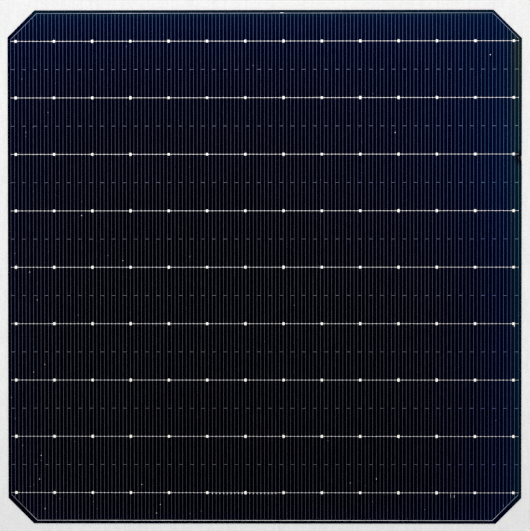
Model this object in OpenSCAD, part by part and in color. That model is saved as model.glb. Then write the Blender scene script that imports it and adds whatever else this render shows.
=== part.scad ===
// Monocrystalline silicon solar cell, lying on its rear face with the printed front face up.
// X runs along the busbars, Y along the fingers and Z out of the front face.
// The origin is at the middle of the rear face, on the surface that the cell lies on.
// The front grid is a two-step silver print: the fingers, their links and the edge lines lie on
// the silicon, and the busbars with their solder pads lie across the tops of the fingers.

/* [Wafer] */
// Distance between opposite straight edges of the silicon wafer
wafer_side = 166; // [150:0.5:190]
// Length of straight edge that a clipped corner takes off
corner_clip = 8.3; // [4:0.1:14]
// How much more the top left corner takes off, because the ingot sat off the square's middle
top_left_overcut = 0.4; // [0:0.05:1.5]
// How much more the top right corner takes off
top_right_overcut = 0.85; // [0:0.05:1.5]
// Thickness of the silicon
wafer_t = 0.18; // [0.12:0.01:0.3]
// Height up the right edge of the middle of a small chip
chip_y = 35.2; // [-60:0.1:60]
// Length of the chip along the edge
chip_l = 2.1; // [0.5:0.1:6]
// Depth of the chip into the wafer
chip_depth = 0.3; // [0.05:0.05:0.45]

/* [Finger print] */
// Distance from a straight wafer edge to the middle of the outermost printed line
edge_margin = 1; // [0.5:0.05:3]
// Distance from the most clipped corner to the middle of the line beside it
corner_margin = 0.85; // [0.4:0.05:3]
// Width of the line along the top, the bottom and the clipped corners
edge_line_w = 0.13; // [0.05:0.01:0.3]
// Number of fingers, of which the first and the last close the sides of the grid
finger_count = 137; // [61:1:181]
// Width of a finger
finger_w = 0.04; // [0.02:0.005:0.1]
// Height of the finger print above the silicon
finger_h = 0.015; // [0.008:0.001:0.04]
// Width of a link, the short dash that joins two neighbouring fingers
link_w = 0.06; // [0.03:0.01:0.2]
// Number of gaps between fingers from one link to the next
link_every = 3; // [1:1:8]

/* [Busbar print] */
// Number of busbars
busbar_count = 9; // [3:1:12]
// Distance from a wafer edge to the middle of the first busbar
busbar_margin = 10; // [8:0.25:20]
// Width of a busbar between its pads
busbar_w = 0.1; // [0.05:0.01:0.4]
// Height of the busbar print above the fingers
busbar_h = 0.01; // [0.005:0.001:0.03]
// Number of solder pads on a busbar
pad_count = 14; // [4:1:24]
// Distance from a wafer edge to the middle of the first pad
pad_margin = 2.6; // [2:0.1:12]
// Length of a pad along the busbar
pad_l = 0.55; // [0.3:0.05:2]
// Width of a pad across the busbar
pad_w = 0.85; // [0.5:0.05:2]
// Length of the shoulder that narrows from a pad to the busbar
pad_shoulder = 0.25; // [0.1:0.05:1]

/* [Rear print] */
// Distance from the wafer's edges to the aluminium layer
rear_margin = 1; // [0.5:0.1:3]
// Thickness of the aluminium layer
rear_t = 0.03; // [0.02:0.002:0.06]
// Number of silver pads in a row behind a busbar
rear_pad_count = 6; // [2:1:10]
// Distance from a wafer edge to the middle of the first rear pad
rear_pad_margin = 13; // [9:0.5:30]
// Length of a rear pad along its row
rear_pad_l = 10; // [4:0.5:14]
// Width of a rear pad across its row
rear_pad_w = 1.8; // [1:0.1:4]
// Thickness of a rear pad
rear_pad_t = 0.01; // [0.005:0.001:0.015]
// Width of the pad's rim that the aluminium laps over
rear_lap = 0.2; // [0.1:0.05:0.4]

/* [Hidden] */
wafer_color = [0.01, 0.02, 0.07];
finger_color = [0.6, 0.6, 0.62];
busbar_color = [0.85, 0.85, 0.84];
aluminium_color = [0.6, 0.61, 0.62];

// Levels, from the rear face up
wafer_z = rear_t;
front_z = wafer_z + wafer_t;
busbar_z = front_z + finger_h;
rear_pad_z = wafer_z - rear_pad_t;
// How far a cutter runs past the faces that it cuts
cut_past = 1;

// Clips of the top right, top left, bottom left and bottom right corners
corner_clips = [corner_clip + top_right_overcut, corner_clip + top_left_overcut, corner_clip, corner_clip];
// Clips that are this much shorter keep the aluminium's margin along the corners too
rear_clip_cut = rear_margin * (2 - sqrt(2));

// Middle of the outermost lines, the same distance out along X and Y
grid_half = wafer_side / 2 - edge_margin;
// The lines along the clipped corners keep |x| + |y| at this value
corner_sum = wafer_side - max(corner_clips) - corner_margin * sqrt(2);

finger_pitch = 2 * grid_half / (finger_count - 1);
busbar_pitch = (wafer_side - 2 * busbar_margin) / (busbar_count - 1);
pad_pitch = (wafer_side - 2 * pad_margin) / (pad_count - 1);
rear_pad_pitch = (wafer_side - 2 * rear_pad_margin) / (rear_pad_count - 1);

// Fingers and pads are counted from 0 at the left, busbars from 1 at the top
function finger_x(j) = j * finger_pitch - grid_half;
function busbar_y(i) = wafer_side / 2 - busbar_margin - (i - 1) * busbar_pitch;
function pad_x(k) = k * pad_pitch + pad_margin - wafer_side / 2;
function rear_pad_x(k) = k * rear_pad_pitch + rear_pad_margin - wafer_side / 2;

// Distance from the X axis, at a given x, of an edge line's outer side (1) or inner side (-1)
function edge_line_y(x, side) =
    min(grid_half + side * edge_line_w / 2, corner_sum + side * edge_line_w / sqrt(2) - abs(x));
// Where that side turns from the straight edge onto the clipped corner
function edge_line_turn(side) = corner_sum - grid_half + side * edge_line_w * (1 / sqrt(2) - 1 / 2);
// Half the length of a busbar, which ends on the outermost fingers or short of a corner line
function busbar_reach(y) =
    min(grid_half + finger_w / 2, corner_sum - edge_line_w / sqrt(2) - busbar_w / 2 - abs(y));

// A square with its corners clipped off at 45 degrees, counted from the top right one against the clock
module clipped_square(side, clips) {
    half = side / 2;
    turn = [for (clip = clips) half - clip];
    polygon([
        [half, turn[0]], [turn[0], half], [-turn[1], half], [-half, turn[1]],
        [-half, -turn[2]], [-turn[2], -half], [turn[3], -half], [half, -turn[3]]
    ]);
}

// A shallow bay in the right edge, deepest in its middle, and the stretch outside it
module edge_chip() {
    bay = [for (s = [-1 : 0.5 : 1]) [-chip_depth * (1 - s * s), s * chip_l / 2]];
    translate([wafer_side / 2, chip_y])
        polygon(concat(bay, [[cut_past, chip_l / 2], [cut_past, -chip_l / 2]]));
}

module silicon_wafer() {
    color(wafer_color)
        translate([0, 0, wafer_z])
            linear_extrude(wafer_t)
                difference() {
                    clipped_square(wafer_side, corner_clips);
                    edge_chip();
                }
}

// One finger, with its ends cut to lie against the edge lines
module finger(x) {
    left = x - finger_w / 2;
    right = x + finger_w / 2;
    linear_extrude(finger_h)
        polygon([
            [left, -edge_line_y(left, -1)], [right, -edge_line_y(right, -1)],
            [right, edge_line_y(right, -1)], [left, edge_line_y(left, -1)]
        ]);
}

module front_fingers() {
    color(finger_color)
        translate([0, 0, front_z])
            for (j = [0 : finger_count - 1])
                finger(finger_x(j));
}

// A link fills the gap from finger j to the next one
module link(j) {
    translate([finger_x(j) + finger_w / 2, -link_w / 2, 0])
        cube([finger_pitch - finger_w, link_w, finger_h]);
}

// Rows of links run half-way between the busbars
module finger_links() {
    color(finger_color)
        for (i = [1 : busbar_count - 1])
            translate([0, busbar_y(i) - busbar_pitch / 2, front_z])
                for (j = [0 : link_every : finger_count - 2])
                    link(j);
}

// The line along the top edge and down the two clipped corners beside it
module edge_line() {
    end = grid_half + finger_w / 2;
    turn_out = edge_line_turn(1);
    turn_in = edge_line_turn(-1);
    top_out = edge_line_y(0, 1);
    top_in = edge_line_y(0, -1);
    end_out = edge_line_y(end, 1);
    end_in = edge_line_y(end, -1);
    color(finger_color)
        translate([0, 0, front_z])
            linear_extrude(finger_h)
                polygon([
                    [end, end_out], [turn_out, top_out], [-turn_out, top_out], [-end, end_out],
                    [-end, end_in], [-turn_in, top_in], [turn_in, top_in], [end, end_in]
                ]);
}

module edge_line_top() {
    edge_line();
}

module edge_line_bottom() {
    rotate([0, 0, 180])
        edge_line();
}

// A pad and the shoulders on both sides of it
module pad_outline() {
    tip = pad_l / 2 + pad_shoulder;
    flat = pad_l / 2;
    polygon([
        [tip, -busbar_w / 2], [tip, busbar_w / 2], [flat, pad_w / 2], [-flat, pad_w / 2],
        [-tip, busbar_w / 2], [-tip, -busbar_w / 2], [-flat, -pad_w / 2], [flat, -pad_w / 2]
    ]);
}

// A busbar has every pad that its length carries
module front_busbar(i) {
    reach = busbar_reach(busbar_y(i));
    color(busbar_color)
        translate([0, busbar_y(i), busbar_z])
            linear_extrude(busbar_h) {
                square([2 * reach, busbar_w], center = true);
                for (k = [0 : pad_count - 1])
                    if (abs(pad_x(k)) + pad_l / 2 + pad_shoulder < reach)
                        translate([pad_x(k), 0])
                            pad_outline();
            }
}

// The places of the rear pads behind busbar i
module at_rear_pads(i) {
    for (k = [0 : rear_pad_count - 1])
        translate([rear_pad_x(k), busbar_y(i), 0])
            children();
}

// A plain block, centred on X and Y, from one level up to another
module block(l, w, low, high) {
    translate([-l / 2, -w / 2, low])
        cube([l, w, high - low]);
}

module rear_pad_row(i) {
    color(busbar_color)
        at_rear_pads(i)
            block(rear_pad_l, rear_pad_w, rear_pad_z, wafer_z);
}

// The aluminium covers the rear, laps over the rims of the pads and leaves a window on each
module rear_aluminium() {
    window_l = rear_pad_l - 2 * rear_lap;
    window_w = rear_pad_w - 2 * rear_lap;
    color(aluminium_color)
        difference() {
            linear_extrude(rear_t)
                clipped_square(wafer_side - 2 * rear_margin, [for (clip = corner_clips) clip - rear_clip_cut]);
            for (i = [1 : busbar_count])
                at_rear_pads(i) {
                    block(rear_pad_l, rear_pad_w, rear_pad_z, wafer_z + cut_past);
                    block(window_l, window_w, -cut_past, wafer_z + cut_past);
                }
        }
}

silicon_wafer();
front_fingers();
finger_links();
edge_line_top();
edge_line_bottom();
rear_aluminium();
for (i = [1 : busbar_count]) {
    front_busbar(i);
    rear_pad_row(i);
}
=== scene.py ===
"""A bare silicon solar cell lying on pale paper, seen from straight above.

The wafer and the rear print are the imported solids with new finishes. The front print is rebuilt as what it
is, low ridges of fired silver paste: rounded fingers, links and edge lines that waver a little, and busbars
with a bead of paste at every finger and a row of domed solder pads. Knots of paste, sagged beads and loose
specks lie on it, and a chip in the right edge shows the broken silicon.
"""
import math

import bpy
import numpy as np
from mathutils import Euler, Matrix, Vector


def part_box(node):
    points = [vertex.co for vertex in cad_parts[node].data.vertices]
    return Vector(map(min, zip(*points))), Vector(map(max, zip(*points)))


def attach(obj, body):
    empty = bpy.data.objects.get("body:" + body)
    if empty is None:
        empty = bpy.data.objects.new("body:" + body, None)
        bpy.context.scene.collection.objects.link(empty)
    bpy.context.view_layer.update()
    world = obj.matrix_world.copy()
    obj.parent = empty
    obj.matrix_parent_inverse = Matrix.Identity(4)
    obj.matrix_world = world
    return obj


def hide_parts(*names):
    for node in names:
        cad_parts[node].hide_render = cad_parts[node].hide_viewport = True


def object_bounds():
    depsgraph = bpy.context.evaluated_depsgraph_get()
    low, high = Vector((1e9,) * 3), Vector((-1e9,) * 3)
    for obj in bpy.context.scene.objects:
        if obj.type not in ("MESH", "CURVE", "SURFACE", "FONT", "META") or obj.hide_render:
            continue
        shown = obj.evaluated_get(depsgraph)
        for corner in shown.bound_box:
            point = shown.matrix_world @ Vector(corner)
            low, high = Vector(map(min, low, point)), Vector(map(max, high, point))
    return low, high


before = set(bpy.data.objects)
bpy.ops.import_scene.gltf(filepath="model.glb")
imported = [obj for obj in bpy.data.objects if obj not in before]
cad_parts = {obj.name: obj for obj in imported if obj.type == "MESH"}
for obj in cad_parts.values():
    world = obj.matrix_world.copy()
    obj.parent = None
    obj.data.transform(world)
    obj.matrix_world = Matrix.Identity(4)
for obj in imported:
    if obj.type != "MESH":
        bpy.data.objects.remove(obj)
cad_low, cad_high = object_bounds()

MM = 0.001
BODY = "root"
# Name of the point attribute that holds the share of painted highlight on the busbar paste
PAINTED_HIGHLIGHT = "burnish"
BLACK = (0.0, 0.0, 0.0, 1.0)

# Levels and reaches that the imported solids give
wafer_low, wafer_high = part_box("silicon_wafer")
_, finger_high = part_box("front_fingers")
edge_low, edge_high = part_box("edge_line_top")
WAFER_HALF = wafer_high.x
FRONT_Z = wafer_high.z
FINGER_HEIGHT = finger_high.z - FRONT_Z

# The front print, in counts and widths
FINGER_COUNT = 137
FINGER_WIDTH = 0.04 * MM
LINK_WIDTH = 0.06 * MM
LINK_EVERY = 3
EDGE_WIDTH = 0.13 * MM
BUSBAR_COUNT = 9
BUSBAR_WIDTH = 0.1 * MM
BEAD_LENGTH = 0.42 * MM
BEAD_WIDTH = 0.33 * MM
PAD_COUNT = 14
PAD_MARGIN = 2.6 * MM
PAD_LENGTH = 0.55 * MM
PAD_WIDTH = 0.85 * MM
PAD_SHOULDER = 0.25 * MM
# How far a pad's paste runs out along a finger under it, and the half-width of that spur
SPUR_LENGTH = 0.15 * MM
SPUR_HALF = 0.25 * MM
# Height of the bar between beads, as a share of the busbar's height
BAR_HEIGHT = 0.75
# How much painted highlight a bead's paste carries, where the bar's is 0 and a pad's is 1
BEAD_HIGHLIGHT = 0.45

# The chip in the right edge: height up the edge, length, depth, and how far it is stained black around
CHIP_Y = 35.2 * MM
CHIP_LENGTH = 2.1 * MM
CHIP_DEPTH = 0.3 * MM
CHIP_STAIN = 3.2 * MM
CHIP_STATIONS = 15
# Across the chip's broken face, from the wafer's edge in: share of the depth, and share of the thickness down
CHIP_SECTION = np.array([(0, 1), (0, 0.5), (0.4, 0.42), (0.75, 0.27), (1, 0.05), (1, 1)])
# Share of the chip's half-length at which that face ends, where it is next to nothing deep
CHIP_END = 0.97

# A skirt for a finger's soft edge in the photo: its reach and cover, and the level of the finger itself
SKIRT_REACH = 0.16 * MM
SKIRT_COVER = 0.115
FINGER_LEVEL = 0.52

# How far paste sinks into the etched surface, so that no light shows under a line
PASTE_SINK = 0.001 * MM
# Share by which a printed line's width, a bead's or pad's, and a speck's size waver
LINE_WAVER = 0.12
BLOB_WAVER = 0.07
SPECK_WAVER = 0.15
# The most that a line wavers, as a multiple of its share
WAVER_LIMIT = 2
SEED = 137
# Stations along a finger, an edge line, a link, a bead and a pad
FINGER_STATIONS = 121
EDGE_STATIONS = 241
LINK_STATIONS = 5
BEAD_STATIONS = 7
PAD_STATIONS = 19

# Across a line: share of the half-width, and share of the height there
RIDGE = np.array([(-1, 0), (-0.62, 0.76), (0, 1), (0.62, 0.76), (1, 0)])
DOME = np.array([(-1, 0), (-0.86, 0.7), (-0.5, 0.95), (0, 1), (0.5, 0.95), (0.86, 0.7), (1, 0)])
SHARP_EDGE = math.radians(42)

# Camera fitted to the photo: a long lens straight above, its axis a hair off the cell's middle
PHOTO_LENS = 85.0
SENSOR = 36.0
CAMERA_PLACE = Vector((2.753, 4.343, 405.442)) * MM
CAMERA_TURN = Euler((math.radians(-0.534), math.radians(0.365), math.radians(-0.019)), "YXZ")

# Width in pixels of the filter that gathers a pixel's light
FILTER_WIDTH = 1.5

# Half the side of the paper in metres, and how far it lies under the cell
PAPER_HALF = 6.0
PAPER_GAP = 0.02 * MM

# The room's even light, and a soft lamp above the cell's top edge
ROOM_LIGHT = 0.8
LAMP_SIZE = 0.4
LAMP_WATTS = 1.08
LAMP_PLACE = Vector((-0.05, 0.45, 0.4))

# Width and height of the photo in pixels, by which the spots below are placed
PHOTO_SIZE = np.array([530, 531])
# Knots of paste on fingers, by photo pixel
LARGE_KNOTS = [
    (395.5, 132.5), (518.5, 157.5), (81.5, 215.5), (122.5, 260.5), (29.5, 272), (37.5, 300), (44.5, 364.5),
    (33.5, 372), (41.5, 455.5), (376.5, 479), (350.5, 483), (141.5, 484.5), (160.5, 504.5), (45.5, 508.5),
    (156.5, 513),
]
SMALL_KNOTS = [
    (126.5, 46.5), (253.5, 65.5), (22.5, 79), (373, 93.5), (48, 112.5), (33.5, 127), (25.5, 132.5),
    (14.5, 253.5), (107.5, 255.5), (189.5, 256.5), (294.5, 305.5), (77.5, 315), (11.5, 397.5), (495.5, 420.5),
    (328, 440.5), (74.5, 441.5), (23.5, 445.5), (41.5, 460.5), (34.5, 484.5), (365.5, 486), (30.5, 486.5),
    (60.5, 498.5), (93.5, 501.5), (372.5, 501.5), (502.5, 505.5), (97.5, 508.5), (424.5, 509.5), (201.5, 511),
    (190, 513.5),
]
FAINT_KNOTS = [
    (163.5, 34.5), (55.5, 83.5), (25.5, 136.5), (361.5, 142.5), (189.5, 167), (144.5, 176), (320.5, 179.5),
    (33, 191.5), (55.5, 194.5), (81.5, 201.5), (48.5, 251.5), (37, 283.5), (200.5, 283.5), (518.5, 315.5),
    (264.5, 341.5), (15.5, 418.5), (417.5, 488.5), (346.5, 510), (387.5, 510.5), (56.5, 511.5),
    (286.5, 513.5),
]
# Size of such a knot along X and Y in mm, and the share of painted highlight on a large one
LARGE_KNOT = (0.2, 0.45)
SMALL_KNOT = (0.16, 0.45)
FAINT_KNOT = (0.1, 0.38)
KNOT_HIGHLIGHT = 0.4
# Loose specks, smears of paste and the tail of a pad: photo pixel, size along X and Y in mm, and share of
# painted highlight
SPECKS = [
    ((490.3, 54.7), (0.31, 0.31), 0.5),
    ((39.6, 479.2), (0.3, 0.3), 0.2),
    ((281.8, 12.9), (1.6, 0.26), 0.1),
    ((450.6, 495.8), (0.11, 1.9), 0.0),
    ((454.3, 496.5), (0.2, 0.9), 0.1),
    ((514.3, 325.4), (0.3, 0.8), 1.0),
]
# The stretch of the lowest busbar whose beads sag, how far they hang, and a bead's size along X and Y in mm
SAG_SPAN = (-18 * MM, 4 * MM)
SAG_DROP = 0.3 * MM
SAG_BEAD = (0.32, 0.36)
# Height of a knot, a sagged bead or a speck, and the number of its sides
SPECK_HEIGHT = 0.02 * MM
SPECK_SIDES = 12
# Rings of a speck from its foot to its crown: share of its half-size, and share of its height
SPECK_RINGS = np.array([(1.0, 0.0), (0.86, 0.55), (0.5, 0.9)])

grid_half = finger_high.x - FINGER_WIDTH / 2
edge_line_y = edge_high.y - EDGE_WIDTH / 2
corner_sum = edge_low.y + edge_high.x + EDGE_WIDTH / math.sqrt(2)
finger_x = np.linspace(-grid_half, grid_half, FINGER_COUNT)
pad_x = np.linspace(PAD_MARGIN - WAFER_HALF, WAFER_HALF - PAD_MARGIN, PAD_COUNT)
busbar_boxes = [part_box(f"front_busbar_{i}") for i in range(1, BUSBAR_COUNT + 1)]
busbar_y = np.array([(low.y + high.y) / 2 for low, high in busbar_boxes])
random = np.random.default_rng(SEED)


def srgb(red, green, blue):
    """A screen colour of 0 to 255 as the linear colour that a socket takes."""
    share = np.array([red, green, blue]) / 255
    linear = np.where(share <= 0.04045, share / 12.92, ((share + 0.055) / 1.055) ** 2.4)
    return (*linear.tolist(), 1.0)


class Value:
    """An output socket of a shader node. Arithmetic on it adds Math nodes to its tree."""

    def __init__(self, finish, socket):
        self.finish = finish
        self.socket = socket

    def math(self, operation, first, second=0.0):
        return self.finish.node("ShaderNodeMath", {"operation": operation}, {0: first, 1: second})

    def other(self, output):
        """Another output of the same node."""
        return Value(self.finish, self.socket.node.outputs[output])

    def __add__(self, other):
        return self.math("ADD", self, other)

    def __sub__(self, other):
        return self.math("SUBTRACT", self, other)

    def __mul__(self, other):
        return self.math("MULTIPLY", self, other)

    def __truediv__(self, other):
        return self.math("DIVIDE", self, other)

    def __rsub__(self, other):
        return self.math("SUBTRACT", other, self)

    def __rtruediv__(self, other):
        return self.math("DIVIDE", other, self)

    __radd__ = __add__
    __rmul__ = __mul__

    def size(self):
        """The value without its sign."""
        return self.math("ABSOLUTE", self)

    def fade(self, reach):
        """1 at a distance of 0, and a third or so of what it was for each reach further."""
        return self.math("EXPONENT", self / -reach)

    def step(self, low, high):
        """0 below low and 1 above high, with a smooth rise between them."""
        settings = {"interpolation_type": "SMOOTHSTEP"}
        sockets = {"Value": self, "From Min": low, "From Max": high}
        return self.finish.node("ShaderNodeMapRange", settings, sockets)


class Finish:
    """A material under construction, with a Principled surface that its last call fills in."""

    def __init__(self, name):
        self.material = bpy.data.materials.new(name)
        self.material.use_nodes = True
        self.tree = self.material.node_tree
        self.tree.nodes.clear()
        self.place = self.node("ShaderNodeTexCoord", output="Object")

    def node(self, kind, settings=None, sockets=None, output=0):
        """Adds a node with its settings, where stops fill a colour ramp, and its sockets' values or links."""
        made = self.tree.nodes.new(kind)
        for key, value in (settings or {}).items():
            if key == "stops":
                self.fill_ramp(made.color_ramp, value)
            else:
                setattr(made, key, value)
        for key, value in (sockets or {}).items():
            if isinstance(value, Value):
                self.tree.links.new(value.socket, made.inputs[key])
            else:
                made.inputs[key].default_value = value
        return Value(self, made.outputs[output])

    @staticmethod
    def fill_ramp(ramp, stops):
        while len(ramp.elements) < len(stops):
            ramp.elements.new(1.0)
        for element, (position, colour) in zip(ramp.elements, stops):
            element.position = position
            element.color = colour

    def place_mm(self):
        """The X and Y of the Object coordinates in millimetres."""
        x = self.node("ShaderNodeSeparateXYZ", None, {0: self.place})
        return x / MM, x.other("Y") / MM

    def stretched(self, x, y, z):
        """The Object coordinates with each axis multiplied, in turns of a pattern for each millimetre."""
        scale = (x / MM, y / MM, z / MM)
        return self.node("ShaderNodeMapping", None, {"Vector": self.place, "Scale": scale})

    def noise(self, per_mm, detail=2.0, vector=None):
        """Even noise from 0 to 1, with that many lumps to a millimetre."""
        sockets = {"Vector": vector or self.stretched(per_mm, per_mm, per_mm), "Scale": 1.0, "Detail": detail}
        return self.node("ShaderNodeTexNoise", None, sockets)

    def mix(self, share, first, second, blend="MIX"):
        """The first colour at share 0 and the second at 1."""
        settings = {"data_type": "RGBA", "blend_type": blend}
        return self.node("ShaderNodeMix", settings, {0: share, 6: first, 7: second}, output=2)

    def bump(self, height, depth_mm, strength=1.0):
        """The normal of a surface that rises by that depth where the height is 1."""
        sockets = {"Height": height, "Distance": depth_mm * MM, "Strength": strength}
        return self.node("ShaderNodeBump", None, sockets)

    def surface(self, **sockets):
        """The Principled surface with these sockets as the output. Underscores stand for spaces."""
        named = {key.replace("_", " "): value for key, value in sockets.items()}
        shader = self.node("ShaderNodeBsdfPrincipled", None, named)
        self.node_to_output(shader)
        return self.material

    def node_to_output(self, shader):
        end = self.tree.nodes.new("ShaderNodeOutputMaterial")
        self.tree.links.new(shader.socket, end.inputs["Surface"])


def film_blue(f):
    """How blue the coated surface looks, in thousandths of full blue: most along the top edge and the right
    one, which is bluest above its middle, and a little along the left and the bottom."""
    x, y = f.place_mm()
    half = WAFER_HALF / MM
    top = 56 / (1 + (half - y) / 12) - 4
    bulge = y.step(-20, 45) * (1 - y.step(45, 95))
    right = (17 + 23 * bulge) * (half - x).fade(28) + (8 + 14 * (1 - y.step(25, 55))) * (half - x).fade(7)
    left = 9 * (half + x).fade(19)
    bottom = 9 * (half + y).fade(6)
    return top + right + left + bottom


def right_rim(f, reach_mm):
    """1 on the right edge, and 0 from that far inside it."""
    x, _ = f.place_mm()
    return 1 - (WAFER_HALF / MM - x).step(0.4, reach_mm)


def chip_stain(f):
    """1 on the chip, and 0 from the reach of its stain outwards."""
    x, y = f.place_mm()
    across = WAFER_HALF / MM - x
    along = y - CHIP_Y / MM
    return 1 - (across * across + along * along).step(0.8, (CHIP_STAIN / MM) ** 2)


def finger_skirt(f):
    """1 in the middle of a finger, falling to 0 at the skirt's reach, and 0 outside the edge lines."""
    x, y = f.place_mm()
    half_pitch = grid_half / (FINGER_COUNT - 1) / MM
    from_finger = x.math("PINGPONG", x + grid_half / MM, half_pitch)
    reach = x.math("MINIMUM", edge_line_y / MM, corner_sum / MM - x.size())
    return (1 - from_finger.step(0, SKIRT_REACH / MM)) * (reach - y.size()).step(0, 0.1)


def coated_silicon():
    """Etched silicon under a blue-black antireflective film that turns teal along the top and right rims and
    olive at the upper right. A faint skirt beside each finger stands for its soft edge in the photo, and the
    sides are plain grey."""
    f = Finish("coated_silicon")
    _, y = f.place_mm()
    half = WAFER_HALF / MM
    clouds = f.noise(0.06, 3.0)
    blue = film_blue(f)
    blue = (blue * (0.29 + 0.004 * blue) - 1.2) * (0.85 + 0.3 * clouds)
    stops = [
        (0.0, (0.0, 0.0, 0.0004, 1.0)),
        (0.2, (0.0, 0.0003, 0.010, 1.0)),
        (0.44, (0.0, 0.0023, 0.022, 1.0)),
        (0.7, (0.0, 0.0066, 0.035, 1.0)),
        (1.0, (0.0015, 0.0145, 0.050, 1.0)),
    ]
    film = f.node("ShaderNodeValToRGB", {"stops": stops}, {0: blue / 50})
    top_rim = 1 - (half - y).step(0.6, 3.0)
    film = f.mix(0.8 * top_rim, film, srgb(4, 27, 41))
    teal = f.mix(y.step(-60, 30), srgb(0, 17, 28), srgb(0, 26, 34))
    teal = f.mix(y.step(40, 75), teal, srgb(22, 33, 30))
    film = f.mix(0.85 * right_rim(f, 5), film, teal)
    film = f.mix(SKIRT_COVER * finger_skirt(f), film, cast_grey(f, clouds))
    film = f.mix(0.9 * chip_stain(f), film, srgb(3, 4, 16))
    facing = f.node("ShaderNodeSeparateXYZ", None, {0: f.node("ShaderNodeNewGeometry", output="Normal")})
    front = facing.other("Z").step(0.3, 0.7)
    saw_marks = f.noise(1.0, 3.0, f.stretched(0.02, 0.02, 60))
    side = f.mix(saw_marks, srgb(52, 53, 57), srgb(88, 89, 93))
    pyramids = f.noise(30, 2.0)
    return f.surface(
        Base_Color=f.mix(front, side, film),
        Roughness=0.3 + 0.16 * pyramids + 0.08 * clouds,
        IOR=1.1,
        Specular_IOR_Level=0.25,
        Specular_Tint=srgb(120, 160, 255),
        Normal=f.bump(pyramids, 0.002, 0.4),
    )


def broken_silicon():
    """The bare grey face of broken silicon, in fine ripples."""
    f = Finish("broken_silicon")
    ripples = f.noise(1.0, 2.0, f.stretched(9, 3, 9))
    return f.surface(
        Base_Color=f.mix(ripples, srgb(112, 106, 118), srgb(150, 143, 156)),
        Roughness=0.25 + 0.2 * ripples,
        Normal=f.bump(ripples, 0.02, 0.6),
    )


def paste(f, colour, grains):
    """Fired silver paste of that colour: part metal, part matt glass, with a fine pebbled surface. It is
    stained around the chip."""
    return f.surface(
        Base_Color=f.mix(0.7 * chip_stain(f), colour, srgb(30, 33, 45)),
        Metallic=0.3,
        Roughness=0.5 + 0.2 * (grains - 0.5),
        Normal=f.bump(grains, 0.003, 0.5),
    )


def cast_grey(f, grains):
    """Grey paste with a cast like the film's: blue towards the top and the right, teal on the right rim. It
    is dimmer at the right and towards the bottom."""
    x, y = f.place_mm()
    patches = f.noise(0.5, 2.0)
    grey = f.mix((0.5 * grains + 0.5 * patches).step(0.3, 0.7), srgb(124, 123, 129), srgb(158, 157, 164))
    dim = 0.38 * x.step(50, 80) + 0.26 * x.step(-70, -20) * (1 - x.step(50, 80)) * (1 - y.step(-75, 0))
    colour = f.mix(1 - dim, BLACK, grey)
    blue = film_blue(f)
    cast = f.mix(blue / 40, (0.0, 0.04, 1.0, 1.0), (0.0, 0.3, 1.0, 1.0))
    rim = f.mix(y.step(-20, 60), (0.03, 0.3, 0.75, 1.0), (0.33, 0.72, 0.7, 1.0))
    cast = f.mix(right_rim(f, 8), cast, rim)
    return f.mix(blue * (0.024 - 0.00017 * blue), colour, cast, "ADD")


def grey_silver(name, level):
    """The grey paste of fingers and knots, at a share of its full brightness."""
    f = Finish(name)
    grains = f.noise(28, 3.0)
    return paste(f, f.mix(level, BLACK, cast_grey(f, grains)), grains)


def link_silver():
    """The same paste on the links, with a painted highlight that makes it brighter, most of all in the two
    upper rows.
    """
    f = Finish("link_silver")
    _, y = f.place_mm()
    grains = f.noise(28, 3.0)
    # Painted highlight: the links, which run along X, are painted brighter where light from above the top
    # edge catches them, most in the two upper rows
    link_highlight = 0.035 * y.step(-60, -30) + 0.15 * y.step(25, 45)
    return paste(f, f.mix(link_highlight, cast_grey(f, grains), srgb(235, 250, 255)), grains)


def edge_silver():
    """Paste of the edge lines, made paler by a painted reflection that is brightest along the middle of each
    edge. The top line is the dimmer one, with one painted glint, and the bottom line dims around the corners."""
    f = Finish("edge_silver")
    x, y = f.place_mm()
    grains = f.noise(28, 3.0)
    middle = x.step(-76, -46) * (1 - x.step(20, 70))
    top = y.step(-10, 10)
    corner = (x * x).step(5400, 6300)
    painted_glint = 1 - ((x + 45) * (x + 45)).step(6, 120)
    # Painted reflection of the light on the rounded edge lines: stronger on the bottom line and along the
    # middle of each, fading at the bottom line's corners, with one painted glint on the top line
    level = (0.5 - 0.29 * top + (0.42 - 0.27 * top) * middle) * (1 - 0.65 * (1 - top) * corner)
    level = level + 0.18 * top * painted_glint
    grey = f.mix(level * (0.85 + 0.3 * grains), BLACK, srgb(250, 248, 247))
    return paste(f, f.mix(0.004 * film_blue(f), grey, (0.0, 0.35, 1.0, 1.0), "ADD"), grains)


def busbar_silver():
    """White paste with a painted highlight: bright and warm on pads and less so on beads and bars, which are
    cooler. A painted reflection makes beads and bars duller towards the bottom."""
    f = Finish("busbar_silver")
    _, y = f.place_mm()
    grains = f.noise(28, 3.0)
    burnish = f.node("ShaderNodeAttribute", {"attribute_name": PAINTED_HIGHLIGHT}, output="Fac")
    # Painted reflection of the light from above: beads and bars are painted brighter towards the top; pads
    # carry the full painted highlight
    share = burnish + (1 - burnish) * (0.95 * y.step(-60, 90) + 0.12 * (grains - 0.5))
    pad_white = f.mix(y.step(-85, 50), srgb(254, 249, 240), srgb(253, 251, 248))
    white = f.mix(burnish.step(0.5, 1.0), srgb(250, 249, 255), pad_white)
    return paste(f, f.mix(share, srgb(170, 169, 175), white), grains)


def rear_silver():
    """Pale paste of the rear pads, mottled by the firing."""
    f = Finish("rear_silver")
    grains = f.noise(28, 3.0)
    patches = f.noise(0.7, 2.0)
    share = (0.6 * grains + 0.5 * patches).step(0.3, 0.8)
    return paste(f, f.mix(share, srgb(186, 185, 182), srgb(222, 221, 218)), grains)


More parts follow.
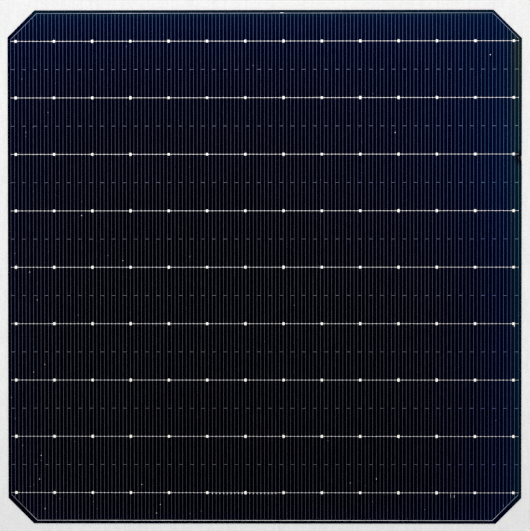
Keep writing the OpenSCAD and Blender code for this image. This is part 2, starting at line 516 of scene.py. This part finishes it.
def fired_aluminium():
    """Fired aluminium paste on the rear: matt grey, mottled by the firing, with the faint squares of the
    screen's mesh and small darker sinter spots."""
    f = Finish("rear_aluminium")
    mottle = f.noise(0.12, 4.0)
    grains = f.noise(12, 3.0)
    weave = {"Vector": f.stretched(1, 1, 1), "Scale": 1.1}
    warp = f.node("ShaderNodeTexWave", {"bands_direction": "X"}, weave)
    weft = f.node("ShaderNodeTexWave", {"bands_direction": "Y"}, weave)
    relief = 0.5 * grains + 0.25 * warp.other("Fac") + 0.25 * weft.other("Fac")
    colour = f.mix((0.6 * mottle + 0.4 * relief).step(0.25, 0.75), srgb(138, 139, 141), srgb(176, 177, 178))
    return f.surface(
        Base_Color=colour,
        Metallic=0.55,
        Roughness=0.62 + 0.2 * (grains - 0.5),
        Normal=f.bump(relief, 0.012, 0.6),
    )


def paper():
    """White paper with painted shade that makes it a shade darker towards the viewer, with faint fibres,
    brush streaks and mottling.
    """
    f = Finish("paper")
    _, y = f.place_mm()
    # Painted shade: the paper is painted darker towards the viewer, away from the lamp
    painted_falloff = f.mix(y.step(-95, -20), srgb(237, 237, 237), srgb(246, 246, 246))
    fibres = f.noise(1.4, 4.0)
    streaks = f.noise(1.0, 3.0, f.stretched(0.9, 0.12, 1))
    mottle = f.noise(0.3, 2.0)
    shade = (0.5 * fibres + 0.35 * streaks + 0.15 * mottle).step(0.35, 0.65)
    colour = f.mix(0.15 * shade, painted_falloff, srgb(150, 150, 151))
    return f.surface(
        Base_Color=colour,
        Roughness=0.9,
        Specular_IOR_Level=0.2,
        Normal=f.bump(fibres, 0.02, 0.5),
    )


def new_mesh(name, points, polygons):
    """A mesh of those points. polygons holds arrays with one polygon to a row, listed by its corners."""
    corners = np.concatenate([rows.ravel() for rows in polygons])
    sizes = np.concatenate([np.full(len(rows), rows.shape[1]) for rows in polygons])
    starts = np.concatenate([[0], np.cumsum(sizes)[:-1]])
    mesh = bpy.data.meshes.new(name)
    mesh.vertices.add(len(points))
    mesh.vertices.foreach_set("co", points.astype(np.float32).ravel())
    mesh.loops.add(len(corners))
    mesh.loops.foreach_set("vertex_index", corners.astype(np.int32))
    mesh.polygons.add(len(starts))
    mesh.polygons.foreach_set("loop_start", starts.astype(np.int32))
    mesh.update(calc_edges=True)
    mesh.shade_smooth()
    mesh.set_sharp_from_angle(angle=SHARP_EDGE)
    return mesh


def new_piece(name, mesh, material, slot, *nodes):
    """Puts a mesh into the scene as a piece of the cell that stands for the named solids."""
    piece = bpy.data.objects.new(name, mesh)
    bpy.context.scene.collection.objects.link(piece)
    mesh.materials.append(material)
    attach(piece, BODY)
    if nodes:
        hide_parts(*nodes)
    return piece


def ridge_mesh(name, paths, half_widths, heights, section):
    """Closed ridges of paste, all with as many stations. paths holds the line, the station and its X and Y.
    At a station the section's points lie across the path, at their share of the half-width to its left and
    their share of the height above the silicon. The first and last points close the underside, and flat caps
    the ends."""
    lines, stations = half_widths.shape
    ring = len(section)
    along = np.gradient(paths, axis=1)
    along /= np.linalg.norm(along, axis=2, keepdims=True)
    left = np.stack([-along[..., 1], along[..., 0]], axis=2)
    points = np.empty((lines, stations, ring, 3))
    points[..., :2] = paths[:, :, None] + (left * half_widths[..., None])[:, :, None] * section[:, :1]
    points[..., 2] = FRONT_Z - PASTE_SINK + (heights[..., None] + PASTE_SINK) * section[:, 1]
    index = np.arange(points.size // 3).reshape(lines, stations, ring)
    turned = np.roll(index, -1, axis=2)
    sides = np.stack([index[:, :-1], index[:, 1:], turned[:, 1:], turned[:, :-1]], axis=3)
    caps = np.concatenate([index[:, 0], index[:, -1, ::-1]])
    return new_mesh(name, points.reshape(-1, 3), [sides.reshape(-1, 4), caps])


def waver(lines, stations, lump):
    """Slow random swelling of printed lines about 1, smoothed over that many stations."""
    noise = random.normal(size=(lines, stations + 2 * lump))
    window = np.hanning(2 * lump + 1)
    window /= np.linalg.norm(window)
    smooth = np.stack([np.convolve(row, window, mode="valid") for row in noise])
    return 1 + LINE_WAVER * np.clip(smooth, -WAVER_LIMIT, WAVER_LIMIT)


def edge_reach(x):
    """Distance from the X axis to the middle of an edge line: the straight edge, or the clipped corner."""
    return np.minimum(edge_line_y, corner_sum - np.abs(x))


def print_fingers(material):
    """Straight ridges along Y, one to each finger, that end in the middle of the edge lines."""
    share = np.linspace(-1, 1, FINGER_STATIONS)
    paths = np.empty((FINGER_COUNT, FINGER_STATIONS, 2))
    paths[..., 0] = finger_x[:, None]
    paths[..., 1] = edge_reach(finger_x)[:, None] * share
    swell = waver(FINGER_COUNT, FINGER_STATIONS, lump=2)
    mesh = ridge_mesh("finger_print", paths, FINGER_WIDTH / 2 * swell, FINGER_HEIGHT * swell**0.5, RIDGE)
    return new_piece("finger_print", mesh, material, "finger_silver", "front_fingers")


def print_links(material):
    """Short ridges along X half-way between busbars, from every third finger to the next one."""
    rows = (busbar_y[:-1] + busbar_y[1:]) / 2
    first = np.arange(0, FINGER_COUNT - 1, LINK_EVERY)
    share = np.linspace(0, 1, LINK_STATIONS)
    span = finger_x[first, None] + (finger_x[first + 1] - finger_x[first])[:, None] * share
    paths = np.empty((len(rows), len(first), LINK_STATIONS, 2))
    paths[..., 0] = span
    paths[..., 1] = rows[:, None, None]
    paths = paths.reshape(-1, LINK_STATIONS, 2)
    swell = waver(len(paths), LINK_STATIONS, lump=1)
    mesh = ridge_mesh("link_print", paths, LINK_WIDTH / 2 * swell, FINGER_HEIGHT * swell**0.5, RIDGE)
    return new_piece("link_print", mesh, material, "finger_silver", "finger_links")


def print_edge_line(name, side, material, node):
    """A ridge along one edge and the two clipped corners beside it, from end finger to end finger."""
    turn = corner_sum - edge_line_y
    x = np.sort(np.concatenate([np.linspace(-grid_half, grid_half, EDGE_STATIONS), [-turn, turn]]))
    paths = np.stack([side * x, side * edge_reach(x)], axis=1)[None]
    swell = waver(1, len(x), lump=2)
    mesh = ridge_mesh(name, paths, EDGE_WIDTH / 2 * swell, FINGER_HEIGHT * swell**0.5, RIDGE)
    return new_piece(name, mesh, material, "finger_silver", node)


def smooth_step(share):
    """0 below 0 and 1 above 1, with a smooth rise between them."""
    t = np.clip(share, 0, 1)
    return t * t * (3 - 2 * t)


def print_busbar(number, material):
    """A flat ridge along X whose half-width is the largest of three: the bar's, an ellipse at each finger
    where the paste pools into a bead, and a pad's, which rises over a rounded shoulder and has a spur on each
    finger."""
    _, high = busbar_boxes[number - 1]
    reach = high.x
    bead_half = BEAD_LENGTH / 2
    pad_half = PAD_LENGTH / 2 + PAD_SHOULDER
    bead_steps = np.sin(np.linspace(-0.5, 0.5, BEAD_STATIONS) * math.pi) * bead_half
    pad_steps = np.linspace(-pad_half, pad_half, PAD_STATIONS)
    beads = finger_x[np.abs(finger_x) <= reach]
    pads = pad_x[np.abs(pad_x) + pad_half < reach]
    bead_stations = (beads[:, None] + bead_steps).ravel()
    pad_stations = (pads[:, None] + pad_steps).ravel()
    x = np.concatenate([bead_stations, pad_stations, [-reach, reach]])
    x = np.unique(np.round(x[np.abs(x) <= reach], 8))
    bead_near = np.abs(x[:, None] - beads).argmin(axis=1)
    pad_near = np.abs(x[:, None] - pads).argmin(axis=1)
    from_bead = np.abs(x - beads[bead_near])
    from_pad = np.abs(x - pads[pad_near])
    bead_size = 1 + BLOB_WAVER * random.normal(size=len(beads))[bead_near]
    pad_size = 1 + BLOB_WAVER * random.normal(size=len(pads))[pad_near]
    bead_share = np.sqrt(np.clip(1 - (from_bead / bead_half) ** 2, 0, 1))
    pad_share = smooth_step((pad_half - from_pad) / PAD_SHOULDER)
    spur = SPUR_LENGTH * np.clip(1 - from_bead / SPUR_HALF, 0, 1)
    bar = BUSBAR_WIDTH / 2 * waver(1, len(x), lump=3)[0]
    bead = BEAD_WIDTH / 2 * bead_size * bead_share
    pad = (PAD_WIDTH / 2 * pad_size + spur) * pad_share
    half_width = np.maximum(np.maximum(bar, bead), pad)
    raised = np.maximum(bead_share, pad_share)
    height = (high.z - FRONT_Z) * (BAR_HEIGHT + (1 - BAR_HEIGHT) * raised)
    paths = np.stack([x, np.full(len(x), busbar_y[number - 1])], axis=1)[None]
    name = f"busbar_print_{number}"
    mesh = ridge_mesh(name, paths, half_width[None], height[None], DOME)
    # Share of painted highlight: full on a pad, less on a bead, none on the bar between
    burnish = np.maximum(BEAD_HIGHLIGHT * bead_share, pad_share)
    mark_highlight(mesh, np.repeat(burnish, len(DOME)))
    return new_piece(name, mesh, material, "busbar_silver", f"front_busbar_{number}")


def break_chip(material):
    """The broken face that slopes from the front down to the wafer's edge in the chip: a ridge along that
    edge, as wide as the chip is deep, which is a parabola from end to end, and hung from the front face by
    its section."""
    share = np.linspace(-CHIP_END, CHIP_END, CHIP_STATIONS)
    paths = np.stack([np.full(CHIP_STATIONS, WAFER_HALF), CHIP_Y + CHIP_LENGTH / 2 * share], axis=1)[None]
    depth = CHIP_DEPTH * (1 - share**2)[None]
    drop = np.full((1, CHIP_STATIONS), wafer_low.z - FRONT_Z)
    mesh = ridge_mesh("chip_face", paths, depth, drop, CHIP_SECTION)
    return new_piece("chip_face", mesh, material, "coated_silicon")


def mark_highlight(mesh, values):
    """Writes the share of painted highlight at each point of a mesh, for the busbar finish."""
    attribute = mesh.attributes.new(PAINTED_HIGHLIGHT, "FLOAT", "POINT")
    attribute.data.foreach_set("value", values.astype(np.float32))


def seen_at(pixels):
    """Places on the front face that the camera sees at those pixels of the photo."""
    sensor = (pixels - PHOTO_SIZE / 2) * (1, -1) * SENSOR / PHOTO_SIZE.max()
    rays = np.column_stack([sensor, np.full(len(pixels), -PHOTO_LENS)]) @ np.array(CAMERA_TURN.to_matrix()).T
    return np.array(CAMERA_PLACE.xy) + rays[:, :2] * ((FRONT_Z - CAMERA_PLACE.z) / rays[:, 2:])


def on_fingers(pixels):
    """The same, moved sideways onto the nearest finger."""
    places = seen_at(pixels)
    places[:, 0] = finger_x[np.abs(places[:, :1] - finger_x).argmin(axis=1)]
    return places


def dome_mesh(name, places, sizes_mm):
    """Low domes of paste: rings of points about each place, at a share of the half-size that wavers from side
    to side and a share of the height, under one crown point and over a flat foot."""
    count = len(places)
    rings = len(SPECK_RINGS)
    sizes = sizes_mm * random.uniform(1 - SPECK_WAVER, 1 + SPECK_WAVER, size=places.shape) * MM
    turn = np.arange(SPECK_SIDES) / SPECK_SIDES * 2 * math.pi
    circle = np.stack([np.cos(turn), np.sin(turn)], axis=1)
    swell = 1 + 2 * BLOB_WAVER * random.normal(size=(count, SPECK_SIDES))
    reach = sizes[:, None] / 2 * circle * swell[..., None]
    points = np.empty((count, rings * SPECK_SIDES + 1, 3))
    around = places[:, None, None] + reach[:, None] * SPECK_RINGS[:, :1, None]
    points[:, :-1, :2] = around.reshape(count, -1, 2)
    points[:, :-1, 2] = FRONT_Z - PASTE_SINK + SPECK_HEIGHT * np.repeat(SPECK_RINGS[:, 1], SPECK_SIDES)
    points[:, -1, :2] = places
    points[:, -1, 2] = FRONT_Z + SPECK_HEIGHT
    index = np.arange(points.size // 3).reshape(count, -1)
    ring = index[:, :-1].reshape(count, rings, SPECK_SIDES)
    after = np.roll(ring, -1, axis=2)
    sides = np.stack([ring[:, :-1], after[:, :-1], after[:, 1:], ring[:, 1:]], axis=3)
    crown = np.broadcast_to(index[:, -1:], (count, SPECK_SIDES))
    tops = np.stack([ring[:, -1], after[:, -1], crown], axis=2)
    faces = [sides.reshape(-1, 4), tops.reshape(-1, 3), ring[:, 0, ::-1]]
    return new_mesh(name, points.reshape(-1, 3), faces)


def lay_knots(material):
    """Small and faint knots of the fingers' grey paste, at its full brightness."""
    places = on_fingers(np.array(SMALL_KNOTS + FAINT_KNOTS))
    sizes = np.array([SMALL_KNOT] * len(SMALL_KNOTS) + [FAINT_KNOT] * len(FAINT_KNOTS))
    return new_piece("finger_knots", dome_mesh("finger_knots", places, sizes), material, "finger_silver")


def sagged_beads():
    """Places just below the lowest busbar, one at each finger of the stretch where its beads sag."""
    start, end = SAG_SPAN
    x = finger_x[(finger_x > start) & (finger_x < end)]
    return np.column_stack([x, np.full(len(x), busbar_y[-1] - SAG_DROP)])


def scatter_specks(material):
    """Large knots on fingers, sagged beads, and loose specks and smears, of the busbar paste, which its
    painted highlight makes brighter.
    """
    pixels, sizes, burnish = zip(*SPECKS)
    knots = on_fingers(np.array(LARGE_KNOTS))
    beads = sagged_beads()
    places = np.concatenate([knots, beads, seen_at(np.array(pixels))])
    sizes = np.array([LARGE_KNOT] * len(knots) + [SAG_BEAD] * len(beads) + list(sizes))
    # Share of painted highlight on each large knot, sagged bead and speck
    burnish = np.array([KNOT_HIGHLIGHT] * len(knots) + [BEAD_HIGHLIGHT] * len(beads) + list(burnish))
    mesh = dome_mesh("print_specks", places, sizes)
    mark_highlight(mesh, np.repeat(burnish, len(mesh.vertices) // len(places)))
    return new_piece("print_specks", mesh, material, "busbar_silver")


def dress(node, material):
    """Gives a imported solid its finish."""
    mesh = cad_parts[node].data
    mesh.materials.clear()
    mesh.materials.append(material)


def lay_paper():
    """A wide flat sheet that the cell lies on, just under its rear face."""
    corners = PAPER_HALF * np.array([(-1, -1), (1, -1), (1, 1), (-1, 1)])
    points = np.column_stack([corners, np.full(len(corners), cad_low.z - PAPER_GAP)])
    mesh = new_mesh("paper", points, [np.arange(len(corners))[None]])
    sheet = bpy.data.objects.new("paper", mesh)
    bpy.context.scene.collection.objects.link(sheet)
    mesh.materials.append(paper())


def light_room():
    """An even white room and one soft lamp from above the cell's top edge."""
    world = bpy.data.worlds.new("room")
    world.use_nodes = True
    bpy.context.scene.world = world
    background = world.node_tree.nodes["Background"]
    background.inputs["Color"].default_value = (1.0, 1.0, 1.0, 1.0)
    background.inputs["Strength"].default_value = ROOM_LIGHT
    lamp = bpy.data.lights.new("soft_lamp", "AREA")
    lamp.shape = "SQUARE"
    lamp.size = LAMP_SIZE
    lamp.energy = LAMP_WATTS
    holder = bpy.data.objects.new("soft_lamp", lamp)
    holder.location = LAMP_PLACE
    holder.rotation_euler = (-LAMP_PLACE).to_track_quat("-Z", "Y").to_euler()
    bpy.context.scene.collection.objects.link(holder)


def set_camera():
    """The camera that was fitted to the photo."""
    camera = bpy.data.cameras.new("camera")
    camera.lens = PHOTO_LENS
    camera.sensor_width = SENSOR
    holder = bpy.data.objects.new("camera", camera)
    holder.rotation_mode = CAMERA_TURN.order
    holder.location = CAMERA_PLACE
    holder.rotation_euler = CAMERA_TURN
    bpy.context.scene.collection.objects.link(holder)
    bpy.context.scene.camera = holder


def set_sensor():
    """A soft pixel filter, so that lines a tenth of a pixel wide keep an even weight. The denoiser works from
    the picture alone, because guided by the surfaces it gives such lines a pink or green cast."""
    cycles = bpy.context.scene.cycles
    cycles.pixel_filter_type = "GAUSSIAN"
    cycles.filter_width = FILTER_WIDTH
    cycles.use_denoising = True
    cycles.denoising_input_passes = "RGB"


finger_paste = grey_silver("finger_silver", FINGER_LEVEL)
knot_paste = grey_silver("knot_silver", 1.0)
edge_paste = edge_silver()
busbar_paste = busbar_silver()
rear_paste = rear_silver()
dress("silicon_wafer", coated_silicon())
dress("rear_aluminium", fired_aluminium())
for row in range(1, BUSBAR_COUNT + 1):
    dress(f"rear_pad_row_{row}", rear_paste)
    print_busbar(row, busbar_paste)
print_fingers(finger_paste)
print_links(link_silver())
print_edge_line("edge_print_top", 1, edge_paste, "edge_line_top")
print_edge_line("edge_print_bottom", -1, edge_paste, "edge_line_bottom")
scatter_specks(busbar_paste)
lay_knots(knot_paste)
break_chip(broken_silicon())
lay_paper()
light_room()
set_camera()
set_sensor()
bpy.context.scene.view_settings.view_transform = "Standard"
